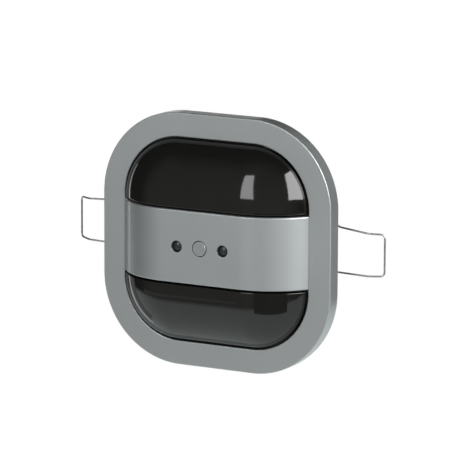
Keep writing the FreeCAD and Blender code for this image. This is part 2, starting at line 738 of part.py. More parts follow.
def terminal(number):
    # One of four clamps side by side, each with a wire entry and a release slot at the back.
    x = f"(TerminalPitch*({number} - 2.5))"
    low = (f"{x} - TerminalPitch/2", powerBack, "-TerminalHalf")
    case = block(f"TerminalCase{number}", low, (f"{x} + TerminalPitch/2", terminalEnd, "TerminalHalf"))
    front = f"{terminalEnd} - EntryDepth"
    entry = rod(f"WireEntry{number}", x, front, "-TerminalHalf*0.4", "WireEntry", "2*EntryDepth")
    low = (f"{x} - WireEntry*0.8", f"{terminalEnd} - 2*WireEntry", "WireEntry")
    slot = block(f"ReleaseSlot{number}", low, (f"{x} + WireEntry*0.8", "BarrelDepth", "WireEntry*2.6"))
    cuts = joined(f"TerminalCuts{number}", "Part::MultiFuse", [entry, slot])
    return joined(f"terminal_{number}", "Part::Cut", [case, cuts])


def hingePin(side, sign):
    made = doc.addObject("Part::Cylinder", f"hinge_pin_{side}")
    made.Label = f"hinge_pin_{side}"
    bind(made, "Radius", "PinRadius")
    bind(made, "Height", "2*(PocketHalf + PocketWall*1.5)")
    bind(made, "Placement.Base.x", f"{sign}HingeOut")
    bind(made, "Placement.Base.y", hingeBack)
    bind(made, "Placement.Base.z", "-(PocketHalf + PocketWall*1.5)")
    return made


def roundedPath(points, radii):
    # Straight runs with an arc of its own radius at each inner point.
    edges, here = [], points[0]
    for before, point, after, radius in zip(points, points[1:], points[2:], radii):
        back, ahead = (before - point).normalize(), (after - point).normalize()
        half = back.getAngle(ahead) / 2
        trim = radius / math.tan(half)
        middle = point + (back + ahead).normalize() * (radius / math.sin(half))
        start, stop = point + back * trim, point + ahead * trim
        top = middle + (point - middle).normalize() * radius
        edges += [Part.LineSegment(here, start).toShape(), Part.Arc(start, top, stop).toShape()]
        here = stop
    return edges + [Part.LineSegment(here, points[-1]).toShape()]


def springClip(side):
    # One bent wire: a short tail, a coil round the pin, the leg and half the end, then the same mirrored.
    n = {name: value(name) for name in sizes}
    pivot = Vector(n["HingeOut"], value(hingeBack), 0)
    coil = n["PinRadius"] + n["CoilGap"] + n["WireRadius"]
    bends = []
    for name in ("Knee", "Elbow", "Kink", "Tip"):
        bends.append(Vector(n[f"{name}Out"], n[f"{name}Back"], n[f"{name}Half"]))
    flat = Vector(bends[0].x - pivot.x, bends[0].y - pivot.y, 0)
    leave = math.atan2(flat.y, flat.x) + math.acos(coil / flat.Length)
    rootHalf = n["PocketHalf"] - n["WireRadius"] * 2.2
    turns = 3 + (math.pi / 2 - leave) / (2 * math.pi)
    rise = turns * n["CoilPitch"]
    helix = Part.makeHelix(n["CoilPitch"], rise, coil, 0, True)
    helix.Placement = Placement(Vector(pivot.x, pivot.y, rootHalf - rise), Rotation(Vector(0, 0, 1), 90))
    slope = n["CoilPitch"] / (2 * math.pi * coil)
    start = Vector(pivot.x, pivot.y + coil, rootHalf - rise)
    tail = start + Vector(-1, 0, -slope) * n["TailLength"]
    root = Vector(pivot.x + coil * math.cos(leave), pivot.y + coil * math.sin(leave), rootHalf)
    heading = Vector(math.sin(leave), -math.cos(leave), slope).normalize()
    points = [root, root + heading * n["TailLength"]] + bends + [Vector(n["TipOut"], n["TipBack"], 0)]
    rounds = [n[name] for name in ("RootRound", "KneeRound", "BendRound", "BendRound", "LoopCorner")]
    path = [Part.LineSegment(tail, start).toShape()] + helix.Edges
    path += roundedPath(points, rounds)
    wire = Part.Wire(Part.__sortEdges__(path))
    profile = Part.Wire(Part.Circle(tail, start - tail, n["WireRadius"]).toShape())
    half = wire.makePipeShell([profile], True, False)
    whole = half.fuse(half.mirror(Vector(), Vector(0, 0, 1))).removeSplitter()
    if side == "left":
        whole.rotate(pivot, Vector(0, 0, 1), n["LeftFold"])
        whole = whole.mirror(Vector(), Vector(1, 0, 0))
    made = doc.addObject("Part::Feature", f"spring_clip_{side}")
    made.Shape = whole
    made.Label = f"spring_clip_{side}"
    return made


nodes = [
    coverFrame(), lensDome(), pushButton(),
    lightWindow("left", "-EyeSpacing/2"), lightWindow("right", "EyeSpacing/2"),
    lensTrough("upper", ""), lensTrough("lower", "-"),
    sensorBoard(), tactSwitch(),
    indicator("status_led", "-EyeSpacing/2"), indicator("light_sensor", "EyeSpacing/2"),
    sensorCarrier(), carrierScrews(), baseHousing(), foamSeal(), rearCover(), coverScrews(),
    powerBoard(), relay(), transformer(), capacitor(), boardLink(),
] + [terminal(number) for number in (1, 2, 3, 4)]
for upDown, z in (("upper", sensorReach), ("lower", f"-{sensorReach}")):
    for side, x in (("left", "-SensorSpread"), ("right", "SensorSpread")):
        nodes.append(sensorCan(f"pyro_sensor_{upDown}_{side}", x, z))
for side, sign in (("left", "-"), ("right", "")):
    nodes += [hingePin(side, sign), springClip(side)]

doc.recompute()
for thing in doc.Objects:
    if "Invalid" in thing.State or "Error" in thing.State:
        raise RuntimeError(f"{thing.Label} failed: {thing.State}")
for node in nodes:
    if node.Shape.isNull() or not node.Shape.isValid() or not node.Shape.Solids:
        raise RuntimeError(f"{node.Label} has no valid shape")

os.makedirs("parts", exist_ok=True)
for node in nodes:
    node.Shape.exportStep(f"parts/{node.Label}.step")
    print(node.Label, len(node.Shape.Solids), round(node.Shape.Volume, 1))
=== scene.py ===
import math

import bmesh
import bpy
from mathutils import Matrix, Vector


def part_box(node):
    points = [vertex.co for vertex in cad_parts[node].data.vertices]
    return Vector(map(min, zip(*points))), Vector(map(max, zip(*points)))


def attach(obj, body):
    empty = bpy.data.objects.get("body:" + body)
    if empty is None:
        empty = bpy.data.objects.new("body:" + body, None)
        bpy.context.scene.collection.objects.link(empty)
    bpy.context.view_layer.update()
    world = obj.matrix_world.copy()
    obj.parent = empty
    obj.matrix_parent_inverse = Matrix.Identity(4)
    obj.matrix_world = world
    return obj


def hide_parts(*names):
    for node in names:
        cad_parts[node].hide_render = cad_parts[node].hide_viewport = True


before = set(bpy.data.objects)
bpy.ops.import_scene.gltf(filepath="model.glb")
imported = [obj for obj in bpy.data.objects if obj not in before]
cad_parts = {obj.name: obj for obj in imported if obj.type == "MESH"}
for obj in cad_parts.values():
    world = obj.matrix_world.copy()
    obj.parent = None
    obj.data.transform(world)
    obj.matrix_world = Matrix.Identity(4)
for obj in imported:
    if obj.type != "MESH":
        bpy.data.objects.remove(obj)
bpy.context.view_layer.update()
mm = 0.001

# The cover looks along -Y and the ceiling is at y = 0.
coverLow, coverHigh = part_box("cover_frame")
domeLow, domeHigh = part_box("lens_dome")
buttonLow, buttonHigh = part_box("push_button")
coverHalf = coverHigh.x
bandTop = coverLow.y
domeTop = domeLow.y


def startFresh():
    if bpy.context.mode != "OBJECT":
        bpy.ops.object.mode_set(mode="OBJECT")
    bpy.ops.object.select_all(action="DESELECT")


def makeActive(piece):
    startFresh()
    piece.select_set(True)
    bpy.context.view_layer.objects.active = piece


def settle(piece):
    # The object goes back to the origin, unturned, and its place stays in its mesh.
    makeActive(piece)
    bpy.ops.object.transform_apply(location=True, rotation=True, scale=True)


def addPlane(name, centre, width, height, turn=(0, 0, 0)):
    startFresh()
    bpy.ops.mesh.primitive_plane_add(size=1, location=centre, rotation=turn)
    piece = bpy.context.object
    piece.name = name
    piece.scale = (width, height, 1)
    settle(piece)
    return piece


def addRound(name, centre, radius, length, corners=64):
    # A cylinder along Y from the given front point.
    startFresh()
    middle = Vector(centre) + Vector((0, length / 2, 0))
    bpy.ops.mesh.primitive_cylinder_add(vertices=corners, radius=radius, depth=length, location=middle,
                                        rotation=(math.pi / 2, 0, 0))
    piece = bpy.context.object
    piece.name = name
    settle(piece)
    return piece


def edit(piece):
    makeActive(piece)
    bpy.ops.object.mode_set(mode="EDIT")
    bpy.ops.mesh.select_all(action="DESELECT")


def pick(kind, test):
    # Selects corners, edges or faces whose places pass the test.
    bpy.ops.mesh.select_mode(type=kind)
    bpy.ops.mesh.select_all(action="DESELECT")
    mesh = bpy.context.edit_object.data
    shape = bmesh.from_edit_mesh(mesh)
    if kind == "VERT":
        chosen = [v for v in shape.verts if test(v.co)]
    elif kind == "EDGE":
        chosen = [e for e in shape.edges if test(e.verts[0].co, e.verts[1].co)]
    else:
        chosen = [f for f in shape.faces if test(f.calc_center_median(), f.normal)]
    for item in chosen:
        item.select = True
    shape.select_flush_mode()
    bmesh.update_edit_mesh(mesh)


def near(a, b, gap=0.02 * mm):
    return abs(a - b) < gap


def extrudeEdges(move):
    bpy.ops.mesh.extrude_edges_move(TRANSFORM_OT_translate={"value": move})


def useModifier(piece, kind, **settings):
    modifier = piece.modifiers.new(kind, kind)
    for key, setting in settings.items():
        setattr(modifier, key, setting)
    makeActive(piece)
    bpy.ops.object.modifier_apply(modifier=modifier.name)


def cutWith(piece, tool, operation="DIFFERENCE"):
    useModifier(piece, "BOOLEAN", object=tool, operation=operation, solver="EXACT")
    bpy.data.objects.remove(tool)


def softShade(piece, degrees=32):
    makeActive(piece)
    bpy.ops.object.shade_smooth_by_angle(angle=math.radians(degrees))
    useModifier(piece, "WEIGHTED_NORMAL", keep_sharp=True, weight=80)


def sweep(axis, centre, angle, steps, **settings):
    # Spin turns against the right-hand rule, so the angle is given its other sign here.
    bpy.ops.mesh.spin(steps=steps, angle=-angle, axis=axis, center=centre, **settings)


def mendNormals():
    bpy.ops.mesh.select_all(action="SELECT")
    bpy.ops.mesh.remove_doubles(threshold=0.002 * mm)
    bpy.ops.mesh.normals_make_consistent(inside=False)


def faceFront():
    # An open sheet is turned so that its flat top looks along -Y.
    mesh = bpy.context.edit_object.data
    faces = bmesh.from_edit_mesh(mesh).faces
    top = min(faces, key=lambda f: (round(f.calc_center_median().y, 5), -f.calc_area()))
    if top.normal.y > 0:
        bpy.ops.mesh.select_all(action="SELECT")
        bpy.ops.mesh.flip_normals()


def finishPiece(piece, body, material, slot, *nodes):
    startFresh()
    piece.data.materials.clear()
    piece.data.materials.append(material)
    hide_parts(*nodes)
    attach(piece, body)


# Materials

def newMaterial(name, colour, roughness, metallic=0.0, **sockets):
    material = bpy.data.materials.new(name)
    material.use_nodes = True
    shader = material.node_tree.nodes["Principled BSDF"]
    shader.inputs["Base Color"].default_value = (*colour, 1)
    shader.inputs["Roughness"].default_value = roughness
    shader.inputs["Metallic"].default_value = metallic
    for socket, number in sockets.items():
        shader.inputs[socket].default_value = number
    return material


def addNoise(material, scale, detail=3.0, stretch=(1, 1, 1), kind="ShaderNodeTexNoise"):
    nodes, links = material.node_tree.nodes, material.node_tree.links
    place = nodes.new("ShaderNodeTexCoord")
    mapping = nodes.new("ShaderNodeMapping")
    mapping.inputs["Scale"].default_value = stretch
    noise = nodes.new(kind)
    noise.inputs["Scale"].default_value = scale
    if kind == "ShaderNodeTexNoise":
        noise.inputs["Detail"].default_value = detail
    links.new(place.outputs["Object"], mapping.inputs["Vector"])
    links.new(mapping.outputs["Vector"], noise.inputs["Vector"])
    return noise.outputs[0]


def varyColour(material, pattern, dark, light):
    # The pattern runs the base colour between two tones.
    nodes, links = material.node_tree.nodes, material.node_tree.links
    ramp = nodes.new("ShaderNodeValToRGB")
    ramp.color_ramp.elements[0].position = 0.3
    ramp.color_ramp.elements[1].position = 0.7
    ramp.color_ramp.elements[0].color = (*dark, 1)
    ramp.color_ramp.elements[1].color = (*light, 1)
    links.new(pattern, ramp.inputs["Fac"])
    links.new(ramp.outputs["Color"], nodes["Principled BSDF"].inputs["Base Color"])


def varyRoughness(material, pattern, low, high):
    nodes, links = material.node_tree.nodes, material.node_tree.links
    span = nodes.new("ShaderNodeMapRange")
    span.inputs["From Min"].default_value = 0.3
    span.inputs["From Max"].default_value = 0.7
    span.inputs["To Min"].default_value = low
    span.inputs["To Max"].default_value = high
    links.new(pattern, span.inputs["Value"])
    links.new(span.outputs["Result"], nodes["Principled BSDF"].inputs["Roughness"])


def addBump(material, pattern, height, strength=1.0):
    nodes, links = material.node_tree.nodes, material.node_tree.links
    bump = nodes.new("ShaderNodeBump")
    bump.inputs["Strength"].default_value = strength
    bump.inputs["Distance"].default_value = height
    links.new(pattern, bump.inputs["Height"])
    links.new(bump.outputs["Normal"], nodes["Principled BSDF"].inputs["Normal"])


def tone(colour, factor):
    return tuple(min(1, c * factor) for c in colour)


silver = (0.272, 0.288, 0.288)
paintFinish = {
    "flake": 5200,  # scale of the metal grain
    "cloud": 60,
    "spread": 0.045,
    "bump": 0.006 * mm,
    "coat": 0.6,
    "coatRoughness": 0.18,
}


def silverPaint(name, colour, metallic, roughness):
    sockets = {"Coat Weight": paintFinish["coat"], "Coat Roughness": paintFinish["coatRoughness"]}
    material = newMaterial(name, colour, roughness, metallic, **sockets)
    flake = addNoise(material, paintFinish["flake"], 2)
    spread = paintFinish["spread"]
    varyColour(material, flake, tone(colour, 1 - spread), tone(colour, 1 + spread))
    varyRoughness(material, addNoise(material, paintFinish["cloud"], 4), roughness - 0.02, roughness + 0.02)
    addBump(material, flake, paintFinish["bump"], 0.5)
    return material


def moulded(name, colour, roughness, grain=2600, depth=0.01 * mm, spread=0.05):
    # Moulded plastic with a fine spark-eroded texture.
    material = newMaterial(name, colour, roughness)
    pattern = addNoise(material, grain, 4)
    varyColour(material, addNoise(material, 90, 5), tone(colour, 1 - spread), tone(colour, 1 + spread))
    varyRoughness(material, pattern, roughness - 0.06, roughness + 0.06)
    addBump(material, pattern, depth, 0.6)
    return material


def metal(name, colour, roughness, stretch=(1, 1, 1), grain=1400):
    material = newMaterial(name, colour, roughness, 1.0)
    pattern = addNoise(material, grain, 3, stretch)
    varyColour(material, pattern, tone(colour, 0.86), tone(colour, 1.08))
    varyRoughness(material, pattern, roughness - 0.07, roughness + 0.09)
    addBump(material, pattern, 0.004 * mm, 0.5)
    return material


def smokedPlastic(name, colour, roughness):
    # Polished smoked plastic: nearly black, with the faint waviness of a moulded dome.
    material = newMaterial(name, colour, roughness, **{"IOR": 1.5})
    varyColour(material, addNoise(material, 40, 3), tone(colour, 0.85), tone(colour, 1.15))
    varyRoughness(material, addNoise(material, 300, 5), roughness, roughness + 0.03)
    addBump(material, addNoise(material, 55, 1), 0.01 * mm, 0.25)
    return material


def boardLaminate():
    material = newMaterial("boardLaminate", (0.02, 0.12, 0.05), 0.35)
    tracks = addNoise(material, 420, 0, (1, 1, 3), "ShaderNodeTexVoronoi")
    varyColour(material, tracks, (0.015, 0.1, 0.04), (0.03, 0.17, 0.07))
    addBump(material, tracks, 0.03 * mm, 0.4)
    return material


print("materials")
paint = silverPaint("silverPaint", tone(silver, 1.55), 0.7, 0.45)
buttonPaint = silverPaint("buttonPaint", tone(silver, 1.3), 0.5, 0.35)
smoked = smokedPlastic("smokedLens", (0.008, 0.008, 0.0068), 0.06)
darkWindow = smokedPlastic("darkWindow", (0.02, 0.023, 0.023), 0.28)
housingPlastic = moulded("housingPlastic", (0.52, 0.52, 0.5), 0.5)
chassisPlastic = moulded("chassisPlastic", (0.03, 0.03, 0.032), 0.55)
terminalPlastic = moulded("terminalPlastic", (0.3, 0.31, 0.32), 0.45)
blackPart = moulded("blackPart", (0.03, 0.03, 0.032), 0.45)
relayCase = moulded("relayCase", (0.05, 0.09, 0.17), 0.4)
canSleeve = moulded("canSleeve", (0.05, 0.06, 0.12), 0.35)
lensFilm = moulded("lensFilm", (0.7, 0.71, 0.69), 0.4)
clearPart = moulded("clearPart", (0.5, 0.5, 0.46), 0.15, spread=0.1)
foam = moulded("foamSeal", (0.035, 0.035, 0.036), 0.9, 1800, 0.15 * mm, 0.3)
springSteel = metal("springSteel", (0.46, 0.46, 0.45), 0.4)
pinSteel = metal("pinSteel", (0.5, 0.5, 0.49), 0.25, (1, 1, 0.05))
zinc = metal("zincScrew", (0.6, 0.59, 0.56), 0.32)
canSteel = metal("sensorCan", (0.52, 0.52, 0.5), 0.3)
laminate = boardLaminate()

coverShape = {
    "cornerRadius": 37.3 * mm,
    "ringWidth": 10.45 * mm,
    "depth": 7.4 * mm,  # the frame's face in front of the ceiling
    "frontWall": 2.2 * mm,
    "rimWall": 2.4 * mm,
    "edgeRound": 0.5 * mm,
    "openingRound": 0.45 * mm,
    "bandWidth": 31.65 * mm,
    "bandWall": 2.2 * mm,
    "bandRound": 0.7 * mm,
    "plateauHalf": 18.4 * mm,  # half the flat top of the band
    "eyeRadius": 2.55 * mm,
    "holeRound": 0.12 * mm,
    "turnSteps": 36,
    "bowSteps": 40,
}
faceY = -coverShape["depth"]
wallBack = faceY + coverShape["frontWall"]
cornerMiddle = coverHalf - coverShape["cornerRadius"]
openHalf = coverHalf - coverShape["ringWidth"]
bandRise = faceY - bandTop
plateau = coverShape["plateauHalf"]
bowRadius = ((openHalf - plateau) ** 2 + bandRise ** 2) / (2 * bandRise)
bowMiddle = bandTop + bowRadius


def makeRing():
    # The cross-section of the frame's side is swept once round the rounded square.
    width = coverShape["ringWidth"]
    middle = (coverHalf - width / 2, (faceY + wallBack) / 2, -cornerMiddle)
    ring = addPlane("coverFrame", middle, width, wallBack - faceY)
    rim = coverHalf - coverShape["rimWall"]
    edit(ring)
    bpy.ops.mesh.select_all(action="SELECT")
    bpy.ops.mesh.bisect(plane_co=(rim, 0, 0), plane_no=(1, 0, 0))
    inside = rim - 0.1 * mm
    pick("EDGE", lambda a, b: near(a.y, wallBack) and near(b.y, wallBack) and min(a.x, b.x) > inside)
    extrudeEdges((0, -wallBack, 0))
    bpy.ops.mesh.select_all(action="SELECT")
    bpy.ops.mesh.dissolve_limited(angle_limit=math.radians(1))
    for x, y, size, steps in (
        (coverHalf, faceY, coverShape["edgeRound"], 8),
        (openHalf, faceY, coverShape["openingRound"], 4),
        (coverHalf, 0, coverShape["openingRound"], 3),
        (rim, 0, coverShape["openingRound"], 3),
    ):
        pick("VERT", lambda p: near(p.x, x) and near(p.y, y))
        bpy.ops.mesh.bevel(offset=size, segments=steps, affect="VERTICES", offset_type="OFFSET")
    bpy.ops.mesh.select_all(action="SELECT")
    bpy.ops.mesh.delete(type="ONLY_FACE")
    bpy.ops.mesh.select_all(action="SELECT")
    along = [Vector((0, 0, 1)), Vector((-1, 0, 0)), Vector((0, 0, -1)), Vector((1, 0, 0))]
    corners = [(1, 1), (-1, 1), (-1, -1), (1, -1)]
    for way, (right, up) in zip(along, corners):
        extrudeEdges(way * (2 * cornerMiddle))
        corner = (right * cornerMiddle, 0, up * cornerMiddle)
        sweep((0, -1, 0), corner, math.pi / 2, coverShape["turnSteps"])
    mendNormals()
    bpy.ops.object.mode_set(mode="OBJECT")
    return ring


def bowedStrip(name, width, top, radius, angle, steps):
    # A flat top with a bow down at each end, as one sheet.
    strip = addPlane(name, (0, top, 0), 2 * plateau, width, (math.pi / 2, 0, 0))
    for side in (1, -1):
        edit(strip)
        pick("EDGE", lambda a, b: near(a.x, side * plateau) and near(b.x, side * plateau))
        sweep((0, 0, side), (side * plateau, bowMiddle, 0), angle, steps)
    return strip


def fromBow(p):
    # Distance to the middle line of the bow, which is the bow's radius on the band's top.
    return math.hypot(max(abs(p.x) - plateau, 0), p.y - bowMiddle)


def makeBand():
    past = math.radians(6)  # the bow's end reaches into the frame and is cut off there
    reach = math.acos((bowMiddle - wallBack) / bowRadius) + past
    band = bowedStrip("band", coverShape["bandWidth"], bandTop, bowRadius, reach, coverShape["bowSteps"])
    mendNormals()
    faceFront()
    bpy.ops.object.mode_set(mode="OBJECT")
    useModifier(band, "SOLIDIFY", thickness=coverShape["bandWall"], offset=-1)
    edit(band)
    half = coverShape["bandWidth"] / 2

    def longEdge(a, b):
        side = near(abs(a.z), half) and near(a.z, b.z)
        return side and all(near(fromBow(p), bowRadius) for p in (a, b))

    pick("EDGE", longEdge)
    bpy.ops.mesh.bevel(offset=coverShape["bandRound"], segments=5, affect="EDGES")
    bpy.ops.mesh.select_all(action="SELECT")
    bpy.ops.mesh.bisect(plane_co=(0, wallBack, 0), plane_no=(0, 1, 0), clear_outer=True, use_fill=True)
    bpy.ops.object.mode_set(mode="OBJECT")
    return band


buttonShape = {
    "collarWidth": 1.05 * mm,
    "gap": 0.35 * mm,  # round the button
    "crownRound": 0.22 * mm,
    "dish": 0.05 * mm,
    "collarThick": 1.1 * mm,
    "collarFront": 2.55 * mm,  # behind the band's top
    "stemRadius": 1.6 * mm,
}
buttonRadius = buttonHigh.x - buttonShape["collarWidth"]
windowLow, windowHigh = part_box("light_window_right")
eyeAt = (windowLow.x + windowHigh.x) / 2


def shadeOrBareSide(p, n):
    # The walls of the openings and holes, and all that looks back or in, get the dark plastic: painted shade
    # in the gaps and holes, and the cover's bare unpainted back. The rest keeps the silver paint.
    holeReach = 4 * mm  # more than the radius of the widest hole
    skin = 0.5 * mm  # of the outer side, which stays painted
    slope = 0.3  # least share of a face's direction that counts as looking in or back
    hole = eyeAt if abs(p.x) > eyeAt / 2 else 0
    if near(n.y, 0, 0.1) and math.hypot(abs(p.x) - hole, p.z) < holeReach:
        return True
    lookingIn = n.x * p.x + n.z * p.z < -slope * math.hypot(p.x, p.z)
    inward = lookingIn and p.y > faceY + coverShape["openingRound"]
    inside = max(abs(p.x), abs(p.z)) < coverHalf - skin
    return inside and p.y > bandTop + mm and (inward or n.y > slope)


def makeCover():
    cover = makeRing()
    cutWith(cover, makeBand(), "UNION")
    eyeRadius = coverShape["eyeRadius"]
    spots = [(0, buttonRadius + buttonShape["gap"]), (eyeAt, eyeRadius), (-eyeAt, eyeRadius)]
    for x, radius in spots:
        before, length = 2 * mm, 6 * mm  # the tool starts in front of the band and ends behind it
        cutWith(cover, addRound("holeTool", (x, bandTop - before, 0), radius, length, 96))
        edit(cover)

        def holeEdge(a, b):
            onTop = near(a.y, bandTop) and near(b.y, bandTop)
            return onTop and all(near(math.hypot(p.x - x, p.z), radius, 0.03 * mm) for p in (a, b))

        pick("EDGE", holeEdge)
        bpy.ops.mesh.bevel(offset=coverShape["holeRound"], segments=3, affect="EDGES")
        bpy.ops.object.mode_set(mode="OBJECT")
    softShade(cover)
    finishPiece(cover, "housing", paint, "silver_paint", "cover_frame")
    # Second slot: dark plastic as painted shade in the opening gaps and the holes, and as the bare back of
    # the cover.
    cover.data.materials.append(chassisPlastic)
    edit(cover)
    pick("FACE", shadeOrBareSide)
    cover.active_material_index = 1
    bpy.ops.object.material_slot_assign()
    bpy.ops.object.mode_set(mode="OBJECT")
    print("cover frame")


makeCover()

domeShape = {
    "gap": 0.85 * mm,  # shadow line between each window and the band
    "rollStart": 48,  # degrees; from here the bow drops faster towards the rim
    "rollEnd": 69,
    "rollRadius": 12.7 * mm,
    "wall": 1.3 * mm,
    "lip": 2.2 * mm,
    "edgeRound": 0.35 * mm,
    "troughDrop": 4.6 * mm,  # below the band's top
    "stemPassage": 1.95 * mm,  # radius of the hole for the button's stem
    "pipePassage": 1.6 * mm,  # and of those for the light pipes
    "steps": 32,
}


def makeDome():
    radius = bowRadius - (domeTop - bandTop)
    lipHalf = openHalf + domeShape["lip"]
    lipFront = wallBack + 0.01 * mm  # the lip lies just behind the frame's face
    turn, drop = (math.radians(domeShape[key]) for key in ("rollStart", "rollEnd"))
    # A flat middle, then to its right the bow, its faster drop at the rim, and the lip.
    dome = addPlane("lensDome", (0, domeTop, 0), 2 * cornerMiddle, 2 * cornerMiddle, (math.pi / 2, 0, 0))
    edit(dome)
    pick("EDGE", lambda a, b: near(a.x, cornerMiddle) and near(b.x, cornerMiddle))
    extrudeEdges((plateau - cornerMiddle, 0, 0))
    sweep((0, 0, 1), (plateau, bowMiddle, 0), turn, domeShape["steps"])
    inward = radius - domeShape["rollRadius"]
    centre = (plateau + inward * math.sin(turn), bowMiddle - inward * math.cos(turn), 0)
    sweep((0, 0, 1), centre, drop - turn, domeShape["steps"] // 2)
    edge = centre[1] - domeShape["rollRadius"] * math.cos(drop)
    half = centre[0] + domeShape["rollRadius"] * math.sin(drop)
    extrudeEdges((0, lipFront - edge, 0))
    extrudeEdges((lipHalf - half, 0, 0))
    # That edge turns round the corner's middle, and three turned copies make the other sides.
    beyond = cornerMiddle + 0.1 * mm
    pick("EDGE", lambda a, b: near(a.z, cornerMiddle) and near(b.z, cornerMiddle) and max(a.x, b.x) > beyond)
    sweep((0, -1, 0), (cornerMiddle, 0, cornerMiddle), math.pi / 2, domeShape["steps"])
    pick("FACE", lambda p, n: p.x > cornerMiddle)
    sweep((0, -1, 0), (0, 0, 0), 1.5 * math.pi, 3, dupli=True)
    mendNormals()
    cut = coverShape["bandWidth"] / 2 + domeShape["gap"]
    for side in (1, -1):
        bpy.ops.mesh.select_all(action="SELECT")
        bpy.ops.mesh.bisect(plane_co=(0, 0, side * cut), plane_no=(0, 0, 1))
    pick("FACE", lambda p, n: abs(p.z) < cut)
    bpy.ops.mesh.delete(type="FACE")
    bpy.ops.object.mode_set(mode="OBJECT")
    return dome, cut, lipHalf, lipFront


def addTrough(dome, cut, lipHalf, lipFront):
    # The dome sinks under the band: a second bowed strip, joined to both windows by straight walls.
    top = bandTop + domeShape["troughDrop"]
    radius = bowRadius - domeShape["troughDrop"]
    turn = math.acos((bowMiddle - lipFront) / radius)
    strip = bowedStrip("trough", 2 * cut, top, radius, turn, domeShape["steps"])
    end = plateau + radius * math.sin(turn)
    for side in (1, -1):
        pick("EDGE", lambda a, b: near(a.x, side * end) and near(b.x, side * end))
        extrudeEdges((side * (lipHalf - end), 0, 0))
    bpy.ops.object.mode_set(mode="OBJECT")
    makeActive(dome)
    strip.select_set(True)
    bpy.ops.object.join()
    for side in (1, -1):
        edit(dome)
        pick("EDGE", lambda a, b: near(a.z, side * cut) and near(b.z, side * cut))
        bpy.ops.mesh.bridge_edge_loops()
    mendNormals()
    faceFront()
    bpy.ops.object.mode_set(mode="OBJECT")


def makeLens():
    dome, cut, lipHalf, lipFront = makeDome()
    addTrough(dome, cut, lipHalf, lipFront)
    edit(dome)

    def windowEdge(a, b):
        front = max(a.y, b.y) < faceY
        outside = all(fromBow(p) > bowRadius - mm for p in (a, b))
        return near(abs(a.z), cut) and near(a.z, b.z) and front and outside

    pick("EDGE", windowEdge)
    bpy.ops.mesh.bevel(offset=domeShape["edgeRound"], segments=4, affect="EDGES")
    bpy.ops.object.mode_set(mode="OBJECT")
    useModifier(dome, "SOLIDIFY", thickness=domeShape["wall"], offset=-1)
    stem, pipe = domeShape["stemPassage"], domeShape["pipePassage"]
    before, length = 1.2 * mm, 6 * mm  # the tool starts in front of the trough and ends behind it
    start = bandTop + domeShape["troughDrop"] - before
    for x, radius in ((0, stem), (eyeAt, pipe), (-eyeAt, pipe)):
        cutWith(dome, addRound("passage", (x, start, 0), radius, length))
    softShade(dome, 40)
    finishPiece(dome, "housing", smoked, "smoked_lens", "lens_dome")
    print("lens dome")


makeLens()


def stepRound(radius, ratio, move):
    # Extrudes the picked end face along Y and scales it to the next radius.
    bpy.ops.mesh.extrude_region_move(TRANSFORM_OT_translate={"value": (0, move, 0)})
    bpy.ops.transform.resize(value=(ratio, 1, ratio))
    return radius * ratio


def makeButton():
    front, radius = buttonLow.y, buttonRadius
    collar = bandTop + buttonShape["collarFront"]
    button = addRound("pushButton", (0, front, 0), radius, collar - front, 96)
    edit(button)
    pick("EDGE", lambda a, b: near(a.y, front) and near(b.y, front))
    bpy.ops.mesh.bevel(offset=buttonShape["crownRound"], segments=5, affect="EDGES")
    pick("FACE", lambda p, n: n.y < -0.99 and math.hypot(p.x, p.z) < mm)
    for depth in (buttonShape["dish"], buttonShape["dish"] / 3):
        bpy.ops.mesh.inset(thickness=buttonRadius / 3)
        bpy.ops.transform.translate(value=(0, depth, 0))
    pick("FACE", lambda p, n: n.y > 0.99)
    radius = stepRound(radius, buttonHigh.x / radius, 0)
    radius = stepRound(radius, 1, buttonShape["collarThick"])
    radius = stepRound(radius, buttonShape["stemRadius"] / radius, 0)
    stepRound(radius, 1, buttonHigh.y - collar - buttonShape["collarThick"])
    mendNormals()
    bpy.ops.object.mode_set(mode="OBJECT")
    softShade(button)
    finishPiece(button, "push_button", buttonPaint, "silver_button", "push_button")
    print("push button")


makeButton()


# Other CAD pieces: a smooth copy of what shows, and a finish on what is hidden

def smoothCopy(node, body, material, slot, soften=0.0, degrees=35):
    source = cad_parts[node]
    startFresh()
    piece = source.copy()
    piece.data = source.data.copy()
    for key in list(piece.keys()):
        del piece[key]
    piece.parent = None
    piece.name = "".join(word.title() if i else word for i, word in enumerate(node.split("_")))
    bpy.context.scene.collection.objects.link(piece)
    edit(piece)
    bpy.ops.mesh.select_all(action="SELECT")
    bpy.ops.mesh.remove_doubles(threshold=0.001 * mm)
    bpy.ops.mesh.dissolve_limited(angle_limit=math.radians(0.5))
    bpy.ops.object.mode_set(mode="OBJECT")
    if soften:
        limit = {"limit_method": "ANGLE", "angle_limit": math.radians(50)}
        useModifier(piece, "BEVEL", width=soften, segments=2, **limit)
    softShade(piece, degrees)
    finishPiece(piece, body, material, slot, node)


for node, material, slot, soften in (
    ("base_housing", housingPlastic, "housing_plastic", 0.2 * mm),
    ("rear_cover", housingPlastic, "housing_plastic", 0.2 * mm),
    *((f"terminal_{i}", terminalPlastic, "terminal_plastic", 0.12 * mm) for i in (1, 2, 3, 4)),
    ("foam_seal", foam, "foam", 0),
    ("cover_screws", zinc, "zinc_screw", 0.08 * mm),
    ("hinge_pin_left", pinSteel, "pin_steel", 0.15 * mm),
    ("hinge_pin_right", pinSteel, "pin_steel", 0.15 * mm),
    ("light_window_left", darkWindow, "dark_window", 0),
    ("light_window_right", darkWindow, "dark_window", 0),
):
    smoothCopy(node, "housing", material, slot, soften)
for side in ("left", "right"):
    smoothCopy(f"spring_clip_{side}", f"clip_{side}", springSteel, "spring_wire", degrees=60)
print("body and spring clips")

